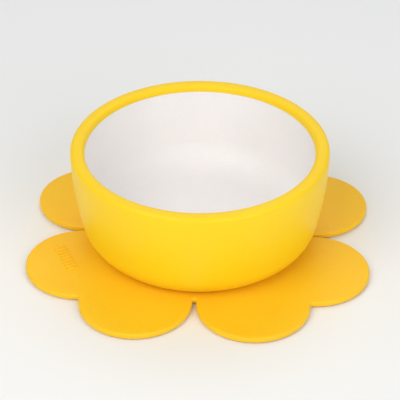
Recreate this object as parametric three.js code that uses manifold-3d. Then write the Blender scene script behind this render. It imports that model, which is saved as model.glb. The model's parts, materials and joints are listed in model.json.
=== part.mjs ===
// Silicone feeding bowl on a flower-shaped suction base. Millimetres, +Z up.
// The origin is on the table under the middle of the bowl. Deep clefts between petal pairs lie on X and Y.
import * as THREE from "three";
import { mergeVertices } from "three/addons/utils/BufferGeometryUtils.js";
import Module from "manifold-3d";

const wasm = await Module();
wasm.setup();

// ---- Driving dimensions: bowl ----
const RIM_DIAMETER = 105; // outside of the lip
const BOWL_DEPTH = 37; // inside, from the lip's top to the floor
const RIM_WIDTH = 5.7; // across the lip, from the opening to the outside
const RIM_EDGE_RADIUS = 1.8; // rounding on both edges of the lip
const LIP_THICKNESS = 2.6; // yellow above the end of the white lining
const LINER_WALL = 1.6; // white lining
const INSIDE_DRAFT_DEG = 4; // lean of the inside wall
const INSIDE_CORNER = 13; // radius between floor and wall, inside
const SHELL_FLOOR = 1.9; // yellow under the lining's floor
const WALL_FLARE = 3.8; // how far the lip stands out beyond the top of the outside corner
const WALL_LEAN_DEG = 12.5; // lean of the outside wall where it leaves the corner
const OUTSIDE_CORNER = 14; // radius between foot and wall, outside
const FOOT_INSET = 11.5; // outside of the foot, in from the outside of the lip
const FOOT_WIDTH = 8.5; // across the foot's flat ring
const FOOT_DEPTH = 1.9; // how far the foot stands below the shell's floor

// ---- Driving dimensions: suction base ----
const SEAL_THICKNESS = 0.8; // lip that lies on the table
const SEAL_REACH_IN = 3.5; // the seal's inner edge, in from the outside of the foot
const SEAL_OVERLAP = 0.7; // the seal's outer edge, out under the petal roots
const CUP_THICKNESS = 1.2; // the flexible cup at its middle
const PETAL_THICKNESS = 2.5;
const PETAL_LIFT = 0.4; // petals clear of the table, so that the seal takes the load
const PETAL_EDGE_RADIUS = 0.8;
const PETAL_REACH = 8.2; // petal centres, out from the inner edge of the petal roots
const PETAL_SPREAD_DEG = 18.7; // petal centre to the middle of its pair, about the bowl's axis
const CLEFT_GAP = 1.6; // narrowest width of the deep cleft between two pairs
const HINGE_MARGIN = 2; // bending line, out from the seal's outer edge
const PAIRS = 4;

// ---- Driving dimensions: grip ribs on one petal ----
const RIB_PETAL = 5;
const RIB_COUNT = 9;
const RIB_PITCH = 2;
const RIB_WIDTH = 1;
const RIB_LENGTH = 5;
const RIB_HEIGHT = 0.4;
const RIB_INSET = 4.6; // middle of the ribs, out from the petal's centre
const RIB_SHIFT = -5; // middle of the row from the petal's own axis, towards the deep cleft

// ---- Clearances ----
const COLOUR_GAP = 0.3; // between the white lining and the yellow shell
const PART_GAP = 0.3; // between regions of the base that meet
const PRESS_TRAVEL = 2; // how far the bowl sinks on its suction cup
const PRESS_CLEARANCE = 0.2; // foot to seal when pressed right down
const SINK_CLEARANCE = 0.6; // bowl to petal roots when pressed right down

// ---- Fineness ----
const ROUND_STEPS = 72; // round the bowl
const PETAL_STEPS = 48; // round a petal
const CORNER_STEPS = 7;
const WALL_STEPS = 5;
const EDGE_STEPS = 3;

// ---- Heights and radii that follow ----
const rad = THREE.MathUtils.degToRad;
const rimRadius = RIM_DIAMETER / 2;
const openingRadius = rimRadius - RIM_WIDTH;
const petalTop = PETAL_LIFT + PETAL_THICKNESS;
const footBottom = SEAL_THICKNESS + PRESS_CLEARANCE + PRESS_TRAVEL;
const footRadius = rimRadius - FOOT_INSET;
const footInner = footRadius - FOOT_WIDTH;
const shellBottom = footBottom + FOOT_DEPTH;
const linerOffset = LINER_WALL + COLOUR_GAP;
const floorTop = shellBottom + SHELL_FLOOR + linerOffset;
const rimTop = floorTop + BOWL_DEPTH;
const linerTop = rimTop - LIP_THICKNESS - COLOUR_GAP;

// Outside corner: an arc through the foot's edge, up to the leaning wall.
const wallLean = rad(WALL_LEAN_DEG);
const cornerAxis = rimRadius - WALL_FLARE - OUTSIDE_CORNER * Math.cos(wallLean);
const cornerHeight = footBottom + Math.sqrt(OUTSIDE_CORNER ** 2 - (footRadius - cornerAxis) ** 2);
const shellRadiusAt = (z) => cornerAxis + Math.sqrt(OUTSIDE_CORNER ** 2 - (cornerHeight - z) ** 2);

const rootRadius = shellRadiusAt(petalTop + PRESS_TRAVEL) + SINK_CLEARANCE;
const sealInner = footRadius - SEAL_REACH_IN;
const sealOuter = rootRadius + SEAL_OVERLAP;
const hingeDistance = sealOuter + HINGE_MARGIN;
const petalCentre = rootRadius + PETAL_REACH;
const pairAngle = (2 * Math.PI) / PAIRS;
const petalSpread = rad(PETAL_SPREAD_DEG);
const petalRadius = petalCentre * Math.sin(pairAngle / 2 - petalSpread) - CLEFT_GAP / 2;
const farOut = petalCentre + 2 * petalRadius; // beyond everything

// ---- Helpers ----
const point = (r, z) => new THREE.Vector2(r, z);

// Points of an arc in the (radius, height) plane; angles in radians from the outward direction.
function arc(centreR, centreZ, radius, from, to, steps) {
  const points = [];
  for (let i = 0; i <= steps; i++) {
    const angle = from + ((to - from) * i) / steps;
    points.push(point(centreR + radius * Math.cos(angle), centreZ + radius * Math.sin(angle)));
  }
  return points;
}

// A body of revolution about Z. The profile runs with the material on its left.
function revolve(profile, steps) {
  return new THREE.LatheGeometry(profile, steps).rotateX(Math.PI / 2);
}

function solidFrom(geometry) {
  const bare = geometry.clone();
  bare.deleteAttribute("normal");
  bare.deleteAttribute("uv");
  const merged = mergeVertices(bare, 1e-3);
  const vertProperties = new Float32Array(merged.attributes.position.array);
  const triVerts = new Uint32Array(merged.index.array);
  return new wasm.Manifold(new wasm.Mesh({ numProp: 3, vertProperties, triVerts }));
}

function geometryFrom(solid) {
  const mesh = solid.getMesh();
  const geometry = new THREE.BufferGeometry();
  geometry.setAttribute("position", new THREE.BufferAttribute(mesh.vertProperties, 3));
  geometry.setIndex(new THREE.BufferAttribute(mesh.triVerts, 1));
  return geometry;
}

// A box given by its lowest and highest corners.
function boxBetween(low, high) {
  const size = high.map((value, i) => value - low[i]);
  const middle = high.map((value, i) => (value + low[i]) / 2);
  return new THREE.BoxGeometry(...size).translate(...middle);
}

// The inside surface of the bowl moved out by an offset, from the middle of the floor up to a height.
function insideCurve(offset, top) {
  const draft = rad(INSIDE_DRAFT_DEG);
  const centreZ = floorTop + INSIDE_CORNER;
  const fullRise = rimTop - centreZ + INSIDE_CORNER * Math.sin(draft);
  const centreR = openingRadius - INSIDE_CORNER * Math.cos(draft) - fullRise * Math.tan(draft);
  const radius = INSIDE_CORNER + offset;
  const rise = top - centreZ + radius * Math.sin(draft);
  const wallFoot = centreR + radius * Math.cos(draft);
  return [
    point(0, floorTop - offset),
    ...arc(centreR, centreZ, radius, -Math.PI / 2, -draft, CORNER_STEPS),
    point(wallFoot + rise * Math.tan(draft), top),
  ];
}

// ---- Bowl ----
function innerBowl() {
  const outside = insideCurve(LINER_WALL, linerTop);
  const inside = insideCurve(0, linerTop).reverse();
  return revolve([...outside, ...inside], ROUND_STEPS);
}

function outerShell() {
  const cornerFrom = Math.atan2(footBottom - cornerHeight, footRadius - cornerAxis);
  const corner = arc(cornerAxis, cornerHeight, OUTSIDE_CORNER, cornerFrom, -wallLean, CORNER_STEPS);
  const wallFoot = corner.at(-1);
  const upright = point(rimRadius, wallFoot.y + WALL_FLARE / Math.tan(wallLean));
  const edgeZ = rimTop - RIM_EDGE_RADIUS;
  const wall = new THREE.QuadraticBezierCurve(wallFoot, upright, point(rimRadius, edgeZ)).getPoints(WALL_STEPS);
  const underside = [
    point(0, shellBottom),
    point(footInner - FOOT_DEPTH, shellBottom),
    point(footInner, footBottom),
  ];
  const lipOutside = arc(rimRadius - RIM_EDGE_RADIUS, edgeZ, RIM_EDGE_RADIUS, 0, Math.PI / 2, EDGE_STEPS);
  const lipInside = arc(openingRadius + RIM_EDGE_RADIUS, edgeZ, RIM_EDGE_RADIUS, Math.PI / 2, Math.PI, EDGE_STEPS);
  const lipUnder = point(openingRadius, rimTop - LIP_THICKNESS);
  const seat = insideCurve(linerOffset, rimTop - LIP_THICKNESS).reverse();
  const outside = [...corner, ...wall.slice(1), ...lipOutside.slice(1)];
  return revolve([...underside, ...outside.slice(1), ...lipInside.slice(1), lipUnder, ...seat], ROUND_STEPS);
}

// ---- Suction base ----
function suctionCup() {
  const edge = rootRadius - PART_GAP;
  const footTop = footBottom - PART_GAP;
  const domeTop = shellBottom - PART_GAP;
  const edgeUnder = SEAL_THICKNESS + PART_GAP;
  const dome = [];
  for (let i = 0; i <= CORNER_STEPS; i++) {
    const share = i / CORNER_STEPS;
    const rise = (domeTop - CUP_THICKNESS - edgeUnder) * Math.cos((share * Math.PI) / 2);
    dome.push(point(sealInner * share, edgeUnder + rise));
  }
  return revolve(
    [
      ...dome,
      point(edge, edgeUnder),
      point(edge, footTop),
      point(footInner - PART_GAP, footTop),
      point(footInner - PART_GAP - FOOT_DEPTH, domeTop),
      point(0, domeTop),
    ],
    ROUND_STEPS,
  );
}

// A whole round petal, before it is cut at its root.
function petalDisc(angle) {
  const flat = petalRadius - PETAL_EDGE_RADIUS;
  const under = arc(flat, PETAL_LIFT + PETAL_EDGE_RADIUS, PETAL_EDGE_RADIUS, -Math.PI / 2, 0, EDGE_STEPS);
  const over = arc(flat, petalTop - PETAL_EDGE_RADIUS, PETAL_EDGE_RADIUS, 0, Math.PI / 2, EDGE_STEPS);
  const disc = revolve([point(0, PETAL_LIFT), ...under, ...over, point(0, petalTop)], PETAL_STEPS);
  return disc.rotateZ(angle).translate(petalCentre * Math.cos(angle), petalCentre * Math.sin(angle), 0);
}

function gripRibs(angle) {
  const ribs = [];
  for (let i = 0; i < RIB_COUNT; i++) {
    const across = (i - (RIB_COUNT - 1) / 2) * RIB_PITCH + RIB_SHIFT;
    const out = petalCentre + RIB_INSET;
    const rib = boxBetween(
      [out - RIB_LENGTH / 2, across - RIB_WIDTH / 2, petalTop - RIB_HEIGHT],
      [out + RIB_LENGTH / 2, across + RIB_WIDTH / 2, petalTop + RIB_HEIGHT],
    );
    ribs.push(solidFrom(rib.rotateZ(angle)));
  }
  return ribs.reduce((a, b) => a.add(b));
}

// The petals in order round the bowl, two for each pair: number, angle about the bowl's axis,
// angle of the middle of the pair, and the side of that middle.
const petals = [];
for (let pair = 0; pair < PAIRS; pair++) {
  const middle = (pair + 0.5) * pairAngle;
  for (const side of [-1, 1]) {
    petals.push({ number: petals.length + 1, angle: middle + side * petalSpread, middle, side });
  }
}

function wholePetal({ number, angle }) {
  const disc = solidFrom(petalDisc(angle));
  return number === RIB_PETAL ? disc.add(gripRibs(angle)) : disc;
}

function baseRing() {
  const seal = revolve(
    [
      point(sealInner, 0),
      point(sealOuter, 0),
      point(sealOuter, SEAL_THICKNESS),
      point(sealInner, SEAL_THICKNESS),
      point(sealInner, 0),
    ],
    ROUND_STEPS,
  );
  let roots = petals.map(wholePetal).reduce((a, b) => a.add(b));
  const sink = new THREE.CylinderGeometry(rootRadius, rootRadius, rimTop, ROUND_STEPS).rotateX(Math.PI / 2);
  roots = roots.subtract(solidFrom(sink));
  const reach = hingeDistance - PART_GAP / 2;
  const inside = boxBetween([-reach, -reach, 0], [reach, reach, rimTop]).rotateZ(pairAngle / 2);
  roots = roots.intersect(solidFrom(inside));
  return geometryFrom(roots.add(solidFrom(seal)));
}

// The part of a petal outside its bending line, on its own side of the pair's middle.
function petalTab(where) {
  const near = hingeDistance + PART_GAP / 2;
  const across = [(where.side * PART_GAP) / 2, where.side * farOut].sort((a, b) => a - b);
  const keep = boxBetween([near, across[0], 0], [farOut, across[1], rimTop]).rotateZ(where.middle);
  return geometryFrom(wholePetal(where).intersect(solidFrom(keep)));
}

// ---- Assembly ----
const white = { color: 0xf2edea, roughness: 0.5, metalness: 0 };
const lemon = { color: 0xfbcd35, roughness: 0.45, metalness: 0 };
const orange = { color: 0xf6b734, roughness: 0.5, metalness: 0 };

const bowl = new THREE.Group();

function place(name, geometry, finish) {
  const mesh = new THREE.Mesh(geometry, new THREE.MeshStandardMaterial(finish));
  mesh.name = name;
  bowl.add(mesh);
}

place("inner_bowl", innerBowl(), white);
place("outer_shell", outerShell(), lemon);
place("suction_cup", suctionCup(), orange);
place("base_ring", baseRing(), orange);
petals.forEach((where) => place("petal_" + where.number, petalTab(where), orange));

export default bowl;
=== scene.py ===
# %% [markdown]
# # A silicone suction bowl
# The object is a small feeding bowl moulded from silicone. A white lining holds the food, and a yellow
# shell with a flat lip goes round it. Under the bowl lies a flower of eight flat petals, which is the
# suction base. The bowl is pressed down to stick, and a pair of petals is peeled up to let air in again.
#
# The design's plain solids come first, as a frame. They carry the sizes, the places and the joints, and
# the pieces made here stand in for them with smooth surfaces. All lengths are in metres.

# %% Load the frame and keep its box
import json
from math import atan2, cos, pi, radians, sin, sqrt, tan

import bpy
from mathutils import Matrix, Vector


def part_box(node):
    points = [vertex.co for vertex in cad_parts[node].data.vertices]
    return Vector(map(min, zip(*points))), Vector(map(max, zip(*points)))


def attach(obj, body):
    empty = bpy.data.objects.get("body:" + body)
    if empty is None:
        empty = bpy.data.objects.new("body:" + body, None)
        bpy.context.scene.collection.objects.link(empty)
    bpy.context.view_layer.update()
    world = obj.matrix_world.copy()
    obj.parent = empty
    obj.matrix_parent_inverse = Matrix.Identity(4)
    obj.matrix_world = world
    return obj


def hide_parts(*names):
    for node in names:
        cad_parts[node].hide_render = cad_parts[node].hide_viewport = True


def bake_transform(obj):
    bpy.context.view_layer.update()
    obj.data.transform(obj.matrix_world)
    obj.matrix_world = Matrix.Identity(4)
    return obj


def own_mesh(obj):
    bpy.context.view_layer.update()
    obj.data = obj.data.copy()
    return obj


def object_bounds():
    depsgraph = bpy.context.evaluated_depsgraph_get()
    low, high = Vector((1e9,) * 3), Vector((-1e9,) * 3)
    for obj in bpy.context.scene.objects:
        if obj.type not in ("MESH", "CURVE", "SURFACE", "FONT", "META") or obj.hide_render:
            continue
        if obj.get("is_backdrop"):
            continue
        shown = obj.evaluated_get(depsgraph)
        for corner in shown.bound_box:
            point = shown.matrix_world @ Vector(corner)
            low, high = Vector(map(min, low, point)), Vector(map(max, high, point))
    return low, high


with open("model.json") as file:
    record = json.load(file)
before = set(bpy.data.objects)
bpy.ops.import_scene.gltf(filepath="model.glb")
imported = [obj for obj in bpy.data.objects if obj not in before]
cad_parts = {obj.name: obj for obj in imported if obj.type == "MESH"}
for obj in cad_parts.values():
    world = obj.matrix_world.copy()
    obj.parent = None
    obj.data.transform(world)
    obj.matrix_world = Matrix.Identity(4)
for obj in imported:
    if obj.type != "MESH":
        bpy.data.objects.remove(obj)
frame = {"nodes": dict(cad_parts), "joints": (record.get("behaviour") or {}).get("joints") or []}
cad_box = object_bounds()
MM = 0.001
print("design box, mm:", [[round(v / MM, 1) for v in corner] for corner in cad_box])

# %% [markdown]
# ## Main sizes
# Whatever the frame can say is read from it, so that the pieces follow the design: the outside of the
# lip, the heights of foot and petals, and how far out the petals bend. What a box can't show is named
# later, in the cell that first needs it.

# %% Sizes read from the frame
shell_low, shell_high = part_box("outer_shell")
lining_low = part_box("inner_bowl")[0]
petal_low, petal_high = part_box("petal_1")
joints = {joint["name"]: joint for joint in frame["joints"]}

RIM_RADIUS = shell_high.x
RIM_TOP = shell_high.z
FOOT_BOTTOM = shell_low.z
PETAL_TOP = petal_high.z
PETAL_UNDER = petal_low.z
HINGE_DISTANCE = Vector(joints["lift_petals_1_2"]["pos_m"]).to_2d().length
print("rim radius and top, mm:", round(RIM_RADIUS / MM, 1), round(RIM_TOP / MM, 1))
print("petals bend this far from the middle, mm:", round(HINGE_DISTANCE / MM, 1))

# %% [markdown]
# ## Turning a round piece
# Bowl, cup and lip are round, so they are made as a potter would turn them. A single point is dragged
# along the outline by extruding it, and the outline is then spun about the bowl's axis. Stacked
# cylinders with insets could do it too, but one outline keeps a long curve true. Round stretches come
# from a formula, so an outline has only the points that its shape needs. A spin leaves doubled points
# at its start and on the axis. They are merged before the faces are turned outwards.


# %% Arcs
def arc(centre, radius, start, end, steps):
    """Points of an arc in a plane; the angles are from the plane's first axis."""
    turns = [start + (end - start) * k / steps for k in range(steps + 1)]
    return [Vector((centre[0] + radius * cos(t), centre[1] + radius * sin(t))) for t in turns]


quarter = arc((0, 0), 1, 0, pi / 2, 4)
print("a quarter turn in four steps:", [tuple(round(v, 2) for v in p) for p in quarter])


# %% Draw an outline
def start_clean():
    """Leaves edit mode and deselects everything, because an operator acts on all that is selected."""
    if bpy.context.object and bpy.context.object.mode == "EDIT":
        bpy.ops.object.mode_set(mode="OBJECT")
    bpy.ops.object.select_all(action="DESELECT")


def draw_outline(name, points):
    """A new mesh in edit mode: a plane shrunk to one point, which is then extruded from point to point."""
    start_clean()
    bpy.ops.mesh.primitive_plane_add(size=MM, location=(0, 0, 0))
    piece = bpy.context.object
    piece.name = name
    bpy.ops.object.mode_set(mode="EDIT")
    bpy.ops.mesh.merge(type="CENTER")
    bpy.ops.transform.translate(value=points[0])
    for here, there in zip(points, points[1:]):
        bpy.ops.mesh.extrude_region_move(TRANSFORM_OT_translate={"value": there - here})
    bpy.ops.mesh.select_all(action="SELECT")
    return piece


# %% Close and smooth a piece
SAME_POINT = 0.002 * MM


def finish_piece(piece, sharp_from=35):
    bpy.ops.mesh.select_all(action="SELECT")
    bpy.ops.mesh.remove_doubles(threshold=SAME_POINT)
    bpy.ops.mesh.normals_make_consistent(inside=False)
    bpy.ops.object.mode_set(mode="OBJECT")
    bpy.ops.object.shade_smooth_by_angle(angle=radians(sharp_from))
    size = [round(v / MM, 1) for v in piece.dimensions]
    print(piece.name, "faces:", len(piece.data.polygons), "size, mm:", size)
    return piece


# %% Spin an outline
STEPS_AROUND = 160


def turn(name, outline):
    """A body of revolution about Z from (radius, height) points."""
    piece = draw_outline(name, [Vector((point[0], 0, point[1])) for point in outline])
    bpy.ops.mesh.spin(steps=STEPS_AROUND, angle=2 * pi, center=(0, 0, 0), axis=(0, 0, 1))
    return finish_piece(piece)


# %% [markdown]
# ## The curve inside the bowl
# Lining and shell share one curve: a flat floor, a round corner, and a wall that leans out by a few
# degrees so that the moulding comes off its tool. Moved outwards by the lining's thickness, the same
# curve gives the back of the lining and the seat for it in the shell.

# %% Inside curve
OPENING_RADIUS = RIM_RADIUS - 5.7 * MM
LINING_WALL = 1.6 * MM
FLOOR_TOP = lining_low.z + LINING_WALL
INSIDE_DRAFT = radians(4)
INSIDE_CORNER = 13 * MM
FLOOR_STEPS = 3
CORNER_STEPS = 18
INSIDE_WALL_STEPS = 4


def inside_curve(offset, top):
    """From the middle of the floor up to a height, moved outwards by an offset."""
    centre_z = FLOOR_TOP + INSIDE_CORNER
    full_rise = RIM_TOP - centre_z + INSIDE_CORNER * sin(INSIDE_DRAFT)
    centre_r = OPENING_RADIUS - INSIDE_CORNER * cos(INSIDE_DRAFT) - full_rise * tan(INSIDE_DRAFT)
    corner = arc((centre_r, centre_z), INSIDE_CORNER + offset, -pi / 2, -INSIDE_DRAFT, CORNER_STEPS)
    rise = top - corner[-1].y
    up_the_wall = Vector((rise * tan(INSIDE_DRAFT), rise))
    wall = [corner[-1] + up_the_wall * k / INSIDE_WALL_STEPS for k in range(1, INSIDE_WALL_STEPS + 1)]
    flat = [Vector((corner[0].x * k / FLOOR_STEPS, corner[0].y)) for k in range(FLOOR_STEPS)]
    return flat + corner + wall


inside = inside_curve(0, RIM_TOP)
floor_edge = inside[FLOOR_STEPS]
print("floor and opening, mm across:", round(2 * floor_edge.x / MM, 1), round(2 * inside[-1].x / MM, 1))

# %% [markdown]
# ## The white lining
# The white part is a plain cup with an even wall. It ends a little below the lip, where the yellow takes
# over, so its top edge is square. The two colours are moulded onto each other, so only a hair's breadth
# is left between them here, enough to keep their faces apart.

# %% White lining
LIP_THICKNESS = 2.6 * MM
SEAM = 0.05 * MM
lining_top = RIM_TOP - LIP_THICKNESS - SEAM
back_of_lining = inside_curve(LINING_WALL, lining_top)
front_of_lining = inside_curve(0, lining_top)[::-1]
lining = turn("white_lining", back_of_lining + front_of_lining)

# %% [markdown]
# ## The outside of the shell
# The foot is a flat ring that stands on the suction base. A round corner runs up from it into a wall
# that leans out less and less, and is upright under the lip. A straight wall would look stiff, and a
# larger arc would bulge, so that stretch is a curve pulled by a single control point. The point lies
# straight below the edge of the lip, on the line along which the wall leaves the corner.

# %% Corner and wall
FOOT_RADIUS = RIM_RADIUS - 11.5 * MM
OUTSIDE_CORNER = 14 * MM
WALL_FLARE = 3.8 * MM
WALL_LEAN = radians(12.5)
RIM_EDGE = 1.8 * MM
OUTER_WALL_STEPS = 16

corner_r = RIM_RADIUS - WALL_FLARE - OUTSIDE_CORNER * cos(WALL_LEAN)
corner_z = FOOT_BOTTOM + sqrt(OUTSIDE_CORNER**2 - (FOOT_RADIUS - corner_r) ** 2)
corner_start = atan2(FOOT_BOTTOM - corner_z, FOOT_RADIUS - corner_r)
outer_corner = arc((corner_r, corner_z), OUTSIDE_CORNER, corner_start, -WALL_LEAN, CORNER_STEPS)

wall_start = outer_corner[-1]
wall_end = Vector((RIM_RADIUS, RIM_TOP - RIM_EDGE))
pull = Vector((RIM_RADIUS, wall_start.y + WALL_FLARE / tan(WALL_LEAN)))
shares = [k / OUTER_WALL_STEPS for k in range(1, OUTER_WALL_STEPS + 1)]
outer_wall = [wall_start * (1 - t) ** 2 + pull * 2 * t * (1 - t) + wall_end * t**2 for t in shares]
print("the wall leaves the corner at height, mm:", round(wall_start.y / MM, 1))

# %% [markdown]
# ## The yellow shell
# Foot, corner, wall and lip are one moulding. The lip is flat on top with a soft radius on both edges,
# so that it doesn't press a small mouth, and it closes over the end of the white lining. The outline
# runs from the axis along the underside, up the outside, over the lip and down the seat to the axis.

# %% Lip, underside and seat
FOOT_WIDTH = 8.5 * MM
FOOT_DEPTH = 1.9 * MM
FOOT_INNER = FOOT_RADIUS - FOOT_WIDTH
SHELL_BOTTOM = FOOT_BOTTOM + FOOT_DEPTH
RIM_EDGE_STEPS = 9

lip_outside = arc((RIM_RADIUS - RIM_EDGE, wall_end.y), RIM_EDGE, 0, pi / 2, RIM_EDGE_STEPS)
lip_inside = arc((OPENING_RADIUS + RIM_EDGE, wall_end.y), RIM_EDGE, pi / 2, pi, RIM_EDGE_STEPS)
seat_top = RIM_TOP - LIP_THICKNESS
lip_under = Vector((OPENING_RADIUS - LIP_THICKNESS * tan(INSIDE_DRAFT), seat_top))
seat = inside_curve(LINING_WALL + SEAM, seat_top)[::-1]
underside = [
    Vector((0, SHELL_BOTTOM)),
    Vector((FOOT_INNER - FOOT_DEPTH, SHELL_BOTTOM)),
    Vector((FOOT_INNER, FOOT_BOTTOM)),
]
print("flat of the lip, mm wide:", round((lip_outside[-1].x - lip_inside[0].x) / MM, 1))

# %% Yellow shell
outside = outer_corner + outer_wall + lip_outside[1:]
shell = turn("yellow_shell", underside + outside + lip_inside + [lip_under] + seat)

# %% [markdown]
# ## The suction cup
# A thin domed web closes the bottom. Its flat margin joins the foot to the roots of the petals, and the
# hollow below it is what gets squeezed out. It gives way as the bowl goes down, so it is a piece of its
# own. The dome is a quarter of a cosine wave, which is level in the middle.

# %% Suction cup
ROOT_RADIUS = HINGE_DISTANCE - 2.7 * MM  # where the petals begin
CUP_RADIUS = ROOT_RADIUS - 0.02 * MM
SEAL_INNER = FOOT_RADIUS - 3.5 * MM
SEAL_THICKNESS = 0.8 * MM
DOME_RISE = 2.3 * MM
DOME_STEPS = 14

cup_under = SEAL_THICKNESS + SEAM
cup_middle = SHELL_BOTTOM - SEAM
turns = [pi / 2 * k / DOME_STEPS for k in range(DOME_STEPS + 1)]
dome = [Vector((SEAL_INNER * t / (pi / 2), cup_under + DOME_RISE * cos(t))) for t in turns]
cup_top = [
    Vector((CUP_RADIUS, cup_under)),
    Vector((CUP_RADIUS, PETAL_TOP)),
    Vector((FOOT_INNER, PETAL_TOP)),
    Vector((FOOT_INNER - FOOT_DEPTH, cup_middle)),
    Vector((0, cup_middle)),
]
cup = turn("suction_cup_web", dome + cup_top)

# %% [markdown]
# ## The sealing lip
# Only this thin ring touches the table. Such lips are soft and narrow so that they follow the surface:
# this one rises inwards to a fine edge and has a small chamfer outside. It could be part of the cup, but
# as a ring of its own it keeps a crisp line all round the underside.

# %% Sealing lip
FINE_EDGE = 0.25 * MM
SEAL_SLOPE = 1.2 * MM
SEAL_CHAMFER = 0.3 * MM

seal_outline = [
    Vector((SEAL_INNER, FINE_EDGE)),
    Vector((SEAL_INNER + SEAL_SLOPE, 0)),
    Vector((CUP_RADIUS - SEAL_CHAMFER, 0)),
    Vector((CUP_RADIUS, SEAL_CHAMFER)),
    Vector((CUP_RADIUS, SEAL_THICKNESS)),
    Vector((SEAL_INNER, SEAL_THICKNESS)),
]
seal = turn("sealing_lip", seal_outline + seal_outline[:1])

# %% [markdown]
# ## A pair of petals
# Two round petals share one root. A shallow cleft parts them, and a deep cleft on either side lets each
# pair bend by itself. One pair is drawn flat with its middle along X, then filled and raised. Joined
# discs could be cut with a boolean, but a drawn outline gives clean edges to round off. The petals'
# radius isn't chosen: it is what leaves the deep cleft its narrowest width.

# %% Petal sizes
SIDE = pi / 4  # from the middle of a pair to the deep cleft
PETAL_CENTRE = ROOT_RADIUS + 8.2 * MM
PETAL_SPREAD = radians(18.7)
CLEFT_HALF = 0.8 * MM
CLEFT_END = ROOT_RADIUS + 1.4 * MM
SHALLOW_ROUND = 1.2 * MM
PETAL_RADIUS = PETAL_CENTRE * sin(SIDE - PETAL_SPREAD) - CLEFT_HALF


def petal_centre(side):
    return Vector((cos(PETAL_SPREAD), side * sin(PETAL_SPREAD))) * PETAL_CENTRE


print("petal radius, mm:", round(PETAL_RADIUS / MM, 2))

# %% Shallow cleft
SHALLOW_STEPS = 8
petal = petal_centre(1)
cleft_x = petal.x + sqrt((PETAL_RADIUS + SHALLOW_ROUND) ** 2 - petal.y**2)
towards_petal = atan2(petal.y, petal.x - cleft_x)
shallow_cleft = arc((cleft_x, 0), SHALLOW_ROUND, towards_petal, 2 * pi - towards_petal, SHALLOW_STEPS)
print("the shallow cleft ends this far out, mm:", round((cleft_x - SHALLOW_ROUND) / MM, 1))

# %% Outline of one pair
DEEP_STEPS = 5
PETAL_STEPS = 56


def petal_outline(side):
    """From the inner end of the deep cleft, round one petal, to the shallow cleft; side is 1 or -1."""
    along = Vector((cos(SIDE), side * sin(SIDE)))
    inward = Vector((sin(SIDE), -side * cos(SIDE)))
    round_centre = along * (CLEFT_END + CLEFT_HALF)
    turns = [pi / 2 * k / DEEP_STEPS for k in range(DEEP_STEPS)]
    cleft = [round_centre + (inward * sin(t) - along * cos(t)) * CLEFT_HALF for t in turns]
    narrowest = side * (SIDE + pi / 2)
    round_petal = arc(petal_centre(side), PETAL_RADIUS, narrowest, side * (towards_petal - pi), PETAL_STEPS)
    return cleft + round_petal


root = arc((0, 0), ROOT_RADIUS, -SIDE, SIDE, STEPS_AROUND // 4)
pair_outline = root + petal_outline(1) + shallow_cleft[1:-1] + petal_outline(-1)[::-1]
print("points round one pair:", len(pair_outline))

# %% Fill and raise the pair
loop = [Vector((point.x, point.y, PETAL_UNDER)) for point in pair_outline + pair_outline[:1]]
petal_pair = draw_outline("petal_pair", loop)
bpy.ops.mesh.remove_doubles(threshold=SAME_POINT)
bpy.ops.mesh.edge_face_add()
bpy.ops.mesh.extrude_region_move(TRANSFORM_OT_translate={"value": (0, 0, PETAL_TOP - PETAL_UNDER)})
bpy.ops.mesh.select_all(action="SELECT")
bpy.ops.mesh.normals_make_consistent(inside=False)
print("petals are this thick, mm:", round((PETAL_TOP - PETAL_UNDER) / MM, 2))

# %% [markdown]
# Only the free edges are rounded. The root stays square, because there the sheet runs straight on into
# the suction cup, and so do the two short sides where neighbouring pairs meet. A narrow ring is then
# inset on both flats, so that the soft shading of the round edge doesn't run out over them.


# %% Select by place
def select_parts(piece, kind, wanted):
    """Selects the faces or edges of a piece in edit mode that the test wants."""
    bpy.ops.mesh.select_mode(type=kind)
    bpy.ops.mesh.select_all(action="DESELECT")
    bpy.ops.object.mode_set(mode="OBJECT")
    corners = piece.data.vertices
    if kind == "FACE":
        for face in piece.data.polygons:
            face.select = wanted(face)
    else:
        for edge in piece.data.edges:
            edge.select = wanted(*(corners[i].co for i in edge.vertices))
    bpy.ops.object.mode_set(mode="EDIT")


def round_edges(radius, segments):
    bpy.ops.mesh.bevel(offset=radius, segments=segments, profile=0.5, affect="EDGES", clamp_overlap=False)


# %% Round the free edges
PETAL_EDGE = 0.8 * MM
RING_WIDTH = 0.15 * MM
NEAR = 0.01 * MM  # close enough to count as the same place


def free_edge(a, b):
    outside_root = min(a.to_2d().length, b.to_2d().length) > CLEFT_END - NEAR
    return outside_root and abs(a.z - b.z) < NEAR


select_parts(petal_pair, "EDGE", free_edge)
round_edges(PETAL_EDGE, segments=5)
for height in (PETAL_TOP, PETAL_UNDER):
    select_parts(petal_pair, "FACE", lambda face: face.area > MM**2 and abs(face.center.z - height) < NEAR)
    bpy.ops.mesh.inset(thickness=RING_WIDTH, use_even_offset=True)
print("free edges rounded by, mm:", round(PETAL_EDGE / MM, 2), "ring, mm:", round(RING_WIDTH / MM, 2))

# %% [markdown]
# A flat sheet can only curve where it has edges. Thin slices are cut across the pair where it bends, and
# two more further out keep the long flat faces well shaped.

# %% Slice the pair across its bend
BEND_START = HINGE_DISTANCE - 0.5 * MM
BEND_END = HINGE_DISTANCE + 5.7 * MM
BEND_SLICES = 12
FURTHER_OUT = [4 * MM, 8 * MM]
slices = [BEND_START + (BEND_END - BEND_START) * k / BEND_SLICES for k in range(BEND_SLICES + 1)]
for distance in slices + [BEND_END + further for further in FURTHER_OUT]:
    bpy.ops.mesh.select_all(action="SELECT")
    bpy.ops.mesh.bisect(plane_co=(distance, 0, 0), plane_no=(1, 0, 0))
finish_piece(petal_pair, sharp_from=40)

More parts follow.
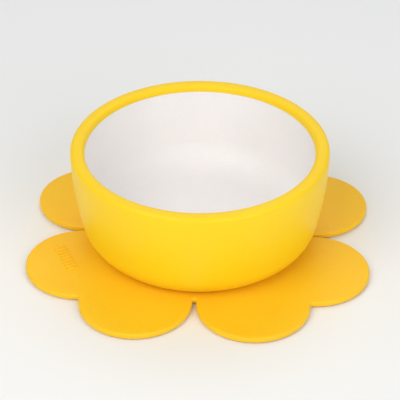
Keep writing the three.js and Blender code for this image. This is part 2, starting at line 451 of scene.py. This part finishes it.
# %% [markdown]
# The four pairs are alike, so the finished one is copied and turned into place, each copy with its own
# mesh. The turn is then applied, which leaves every piece standing at the origin.

# %% Four pairs in their places
PAIR_MIDDLES = [SIDE + 2 * SIDE * k for k in range(4)]
pairs = []
for number, middle in enumerate(PAIR_MIDDLES):
    start_clean()
    petal_pair.select_set(True)
    bpy.context.view_layer.objects.active = petal_pair
    bpy.ops.object.duplicate()
    copy = bpy.context.object
    copy.name = "petals_%d_and_%d" % (2 * number + 1, 2 * number + 2)
    copy.rotation_euler.z = middle
    bpy.ops.object.transform_apply(location=False, rotation=True, scale=False)
    pairs.append(copy)
start_clean()
petal_pair.select_set(True)
bpy.ops.object.delete()
print("pairs:", [pair.name for pair in pairs])

# %% [markdown]
# ## Grip ribs
# Nine short low ribs stand on one petal, so that wet fingers find the place to pull. In the tool that
# moulds the base they would be grooves. Here one rib is a block with its upright corners and then its
# top edge rounded, sunk a little into the petal. The others are copies of it, each one pitch further on.

# %% One rib
RIB_LENGTH = 5 * MM
RIB_WIDTH = 1 * MM
RIB_HEIGHT = 0.4 * MM
RIB_SINK = 0.3 * MM
RIB_PITCH = 2 * MM
RIB_COUNT = 9
RIB_OUT = PETAL_CENTRE + 4.6 * MM  # from the bowl's axis
RIB_SHIFT = -5 * MM  # of the whole row, from the petal's own axis towards the deep cleft

rib_angle = PAIR_MIDDLES[2] - PETAL_SPREAD
outward = Vector((cos(rib_angle), sin(rib_angle), 0))
sideways = Vector((-sin(rib_angle), cos(rib_angle), 0))
first_side = RIB_SHIFT - RIB_PITCH * (RIB_COUNT - 1) / 2
first_place = outward * RIB_OUT + sideways * first_side
first_place.z = PETAL_TOP + (RIB_HEIGHT - RIB_SINK) / 2

start_clean()
rib_size = (RIB_LENGTH, RIB_WIDTH, RIB_HEIGHT + RIB_SINK)
bpy.ops.mesh.primitive_cube_add(size=1, location=first_place, rotation=(0, 0, rib_angle), scale=rib_size)
bpy.ops.object.transform_apply(location=True, rotation=True, scale=True)
ribs = bpy.context.object
ribs.name = "grip_ribs"
print("a rib stands above the petal, mm:", round(RIB_HEIGHT / MM, 2))

# %% Round the rib
RIB_CORNER = 0.42 * MM
RIB_EDGE = 0.22 * MM

bpy.ops.object.mode_set(mode="EDIT")
select_parts(ribs, "EDGE", lambda a, b: (a.to_2d() - b.to_2d()).length < NEAR)
round_edges(RIB_CORNER, segments=4)
select_parts(ribs, "EDGE", lambda a, b: min(a.z, b.z) > PETAL_TOP + RIB_HEIGHT - NEAR)
round_edges(RIB_EDGE, segments=3)
print("corners and top edge rounded by, mm:", round(RIB_CORNER / MM, 2), round(RIB_EDGE / MM, 2))

# %% Repeat the rib
bpy.ops.mesh.select_all(action="SELECT")
for _ in range(RIB_COUNT - 1):
    bpy.ops.mesh.duplicate_move(TRANSFORM_OT_translate={"value": sideways * RIB_PITCH})
finish_piece(ribs)

# %% [markdown]
# ## Moulded silicone
# Silicone is neither glossy nor dead matt. Light enters a little way and comes back, which softens the
# shading and warms thin edges. The fine blasted face of the tool leaves a grain of a few tenths of a
# millimetre, and handling leaves faint patches that shine more or less.
#
# One recipe makes all three colours. It reads noises in object coordinates: a slow one clouds the
# colour, a middle one varies the shine, and a fine one gives flecks and grain. An image could do the
# same, but noise needs no unwrapping and has no seams.


# %% Small node helpers
def noise(tree, place, scale, detail):
    node = tree.nodes.new("ShaderNodeTexNoise")
    node.inputs["Scale"].default_value = scale
    node.inputs["Detail"].default_value = detail
    tree.links.new(place, node.inputs["Vector"])
    return node.outputs["Fac"]


def stretch(tree, value, low, high):
    """Noise keeps to the middle of its range, so that part is stretched from low to high."""
    node = tree.nodes.new("ShaderNodeMapRange")
    node.inputs["From Min"].default_value = 0.3
    node.inputs["From Max"].default_value = 0.7
    node.inputs["To Min"].default_value = low
    node.inputs["To Max"].default_value = high
    tree.links.new(value, node.inputs["Value"])
    return node.outputs["Result"]


def blend_colours(tree, share, first, second):
    node = tree.nodes.new("ShaderNodeMix")
    node.data_type = "RGBA"
    tree.links.new(share, node.inputs["Factor"])
    for name, colour in (("A", first), ("B", second)):
        if isinstance(colour, tuple):
            node.inputs[name].default_value = (*colour, 1)
        else:
            tree.links.new(colour, node.inputs[name])
    return node.outputs["Result"]


def bump(tree, height, strength, distance):
    node = tree.nodes.new("ShaderNodeBump")
    node.inputs["Strength"].default_value = strength
    node.inputs["Distance"].default_value = distance
    tree.links.new(height, node.inputs["Height"])
    return node


# %% The silicone recipe
# Noise scales, in waves to the metre.
CLOUDS = 38
HANDLING = 140
WAVINESS = 160
FLECKS = 1500
GRAIN = 2400
FLECK_SHADE = 0.86  # of the darker tone
FLECK_MOST = 0.22  # the largest share that a fleck has in the colour
SHINE_SPREAD = 0.045  # of the roughness, up and down


def silicone(name, light, dark, roughness, grain, glow):
    material = bpy.data.materials.new(name)
    material.use_nodes = True
    tree = material.node_tree
    shader = tree.nodes["Principled BSDF"]
    place = tree.nodes.new("ShaderNodeTexCoord").outputs["Object"]

    clouds = stretch(tree, noise(tree, place, CLOUDS, 3), 0, 1)
    cloudy = blend_colours(tree, clouds, light, dark)
    fleck = tuple(FLECK_SHADE * channel for channel in dark)
    flecks = stretch(tree, noise(tree, place, FLECKS, 3), 0, FLECK_MOST)
    tree.links.new(blend_colours(tree, flecks, cloudy, fleck), shader.inputs["Base Color"])

    handling = noise(tree, place, HANDLING, 4)
    handled = stretch(tree, handling, roughness - SHINE_SPREAD, roughness + SHINE_SPREAD)
    tree.links.new(handled, shader.inputs["Roughness"])

    fine = bump(tree, noise(tree, place, GRAIN, 2), grain, 0.1 * MM)
    soft = bump(tree, noise(tree, place, WAVINESS, 1), 0.35, 0.12 * MM)
    tree.links.new(fine.outputs["Normal"], soft.inputs["Normal"])
    tree.links.new(soft.outputs["Normal"], shader.inputs["Normal"])

    shader.inputs["IOR"].default_value = 1.41
    shader.inputs["Specular IOR Level"].default_value = 0.38
    shader.inputs["Subsurface Weight"].default_value = glow
    shader.inputs["Subsurface Radius"].default_value = (1.0, 0.6, 0.3)
    shader.inputs["Subsurface Scale"].default_value = 1.5 * MM
    return material


# %% [markdown]
# The three colours: a white with a little warmth, the lemon yellow of the shell, and the deeper orange
# yellow of the flower. Each has a light and a slightly darker tone, which are the two ends of its
# clouds. The design's own solids get the same finishes.

# %% Three silicones
white = silicone("white_silicone", (0.90, 0.870, 0.855), (0.875, 0.843, 0.828), 0.46, 0.5, 0.15)
lemon = silicone("lemon_silicone", (0.985, 0.655, 0.010), (0.97, 0.63, 0.008), 0.42, 0.5, 0.12)
orange = silicone("orange_silicone", (0.965, 0.575, 0.014), (0.95, 0.55, 0.011), 0.47, 0.6, 0.12)


def shade(material, *pieces):
    for piece in pieces:
        piece.data.materials.clear()
        piece.data.materials.append(material)


shade(white, lining)
shade(lemon, shell)
shade(orange, cup, seal, ribs, *pairs)
for name, node in frame["nodes"].items():
    shade({"inner_bowl": white, "outer_shell": lemon}.get(name, orange), node)
print("finishes:", white.name, lemon.name, orange.name)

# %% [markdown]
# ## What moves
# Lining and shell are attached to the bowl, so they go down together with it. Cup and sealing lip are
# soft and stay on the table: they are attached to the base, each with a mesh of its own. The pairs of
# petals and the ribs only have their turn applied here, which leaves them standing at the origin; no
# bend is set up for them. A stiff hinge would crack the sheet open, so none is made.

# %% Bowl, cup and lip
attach(lining, "bowl")
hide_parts("inner_bowl")
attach(shell, "bowl")
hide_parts("outer_shell")
for soft_piece, solid in ((cup, "suction_cup"), (seal, "base_ring")):
    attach(soft_piece, "base")
    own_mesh(soft_piece)
    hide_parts(solid)
print("the bowl sinks by, mm:", round(joints["press"]["range_m"][1] / MM, 1))


# %% Petals and ribs
def bend_with_pair(piece):
    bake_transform(piece)


for number, pair in enumerate(pairs):
    bend_with_pair(pair)
    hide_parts("petal_%d" % (2 * number + 1), "petal_%d" % (2 * number + 2))
bend_with_pair(ribs)

# %% [markdown]
# ## Floor
# The bowl stands on a plain pale sheet, large enough to fill the view from any side.

# %% Floor
start_clean()
bpy.ops.mesh.primitive_plane_add(size=40, location=(0, 0, 0))
floor = bpy.context.object
floor.name = "floor"
paper = bpy.data.materials.new("paper")
paper.use_nodes = True
paper.node_tree.nodes["Principled BSDF"].inputs["Base Color"].default_value = (0.86, 0.86, 0.85, 1)
paper.node_tree.nodes["Principled BSDF"].inputs["Roughness"].default_value = 0.9
shade(paper, floor)
floor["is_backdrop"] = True
print("floor, m across:", floor.dimensions.x)

# %% [markdown]
# ## Camera
# The view is from a little to the right of the front and 34 degrees above the table, about 74 cm away,
# which shows the inside, the wall and the spread of the petals together. One deep cleft faces the
# camera. A long lens keeps the bowl large without bending its circles.

# %% Camera
AZIMUTH = radians(2.8)
ELEVATION = radians(34.3)
DISTANCE = 742 * MM
target = Vector((0, 0, 19 * MM))
away = Vector((sin(AZIMUTH) * cos(ELEVATION), -cos(AZIMUTH) * cos(ELEVATION), sin(ELEVATION)))
camera_data = bpy.data.cameras.new("camera")
camera_data.sensor_width = 36
camera_data.lens = 162
camera = bpy.data.objects.new("camera", camera_data)
camera.location = target + away * DISTANCE
camera.rotation_euler = (-away).to_track_quat("-Z", "Y").to_euler()
bpy.context.scene.collection.objects.link(camera)
bpy.context.scene.camera = camera
bpy.context.scene.view_settings.view_transform = "Standard"
print("camera at, m:", [round(v, 3) for v in camera.location])

# %% [markdown]
# ## Light
# Two broad soft lights stand left and right in front, almost equally strong, so that the wall is even
# and its highlights stay gentle. A weaker one behind draws the far edge of the lip. It hangs high, so
# that the camera doesn't see its reflection lying on the petals. A pale sky fills the shadows.


# %% Lights
def soft_light(name, place, size, watts, colour=(1, 1, 1)):
    light = bpy.data.lights.new(name, "AREA")
    light.shape = "DISK"
    light.size = size
    light.energy = watts
    light.color = colour
    lamp = bpy.data.objects.new(name, light)
    lamp.location = place
    lamp.rotation_euler = (target - Vector(place)).to_track_quat("-Z", "Y").to_euler()
    bpy.context.scene.collection.objects.link(lamp)


soft_light("key_light", place=(-0.38, -0.5, 0.62), size=0.7, watts=3.3, colour=(1, 0.985, 0.96))
soft_light("fill_light", place=(0.46, -0.6, 0.42), size=0.7, watts=2.6, colour=(0.98, 0.99, 1))
soft_light("back_light", place=(0.05, 0.55, 0.75), size=0.6, watts=1.5)

sky = bpy.data.worlds.new("pale_sky")
sky.use_nodes = True
sky.node_tree.nodes["Background"].inputs["Color"].default_value = (0.93, 0.95, 0.97, 1)
sky.node_tree.nodes["Background"].inputs["Strength"].default_value = 0.52
bpy.context.scene.world = sky

# %% [markdown]
# ## Measure and finish
# The box of the finished model is compared with the design's box. They should agree to within a tenth
# of a millimetre or so, because every piece follows the same values.

# %% Compare the boxes
model_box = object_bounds()
for label, corners in (("design", cad_box), ("model", model_box)):
    print(label, "size, mm:", [round((b - a) / MM, 2) for a, b in zip(*corners)])
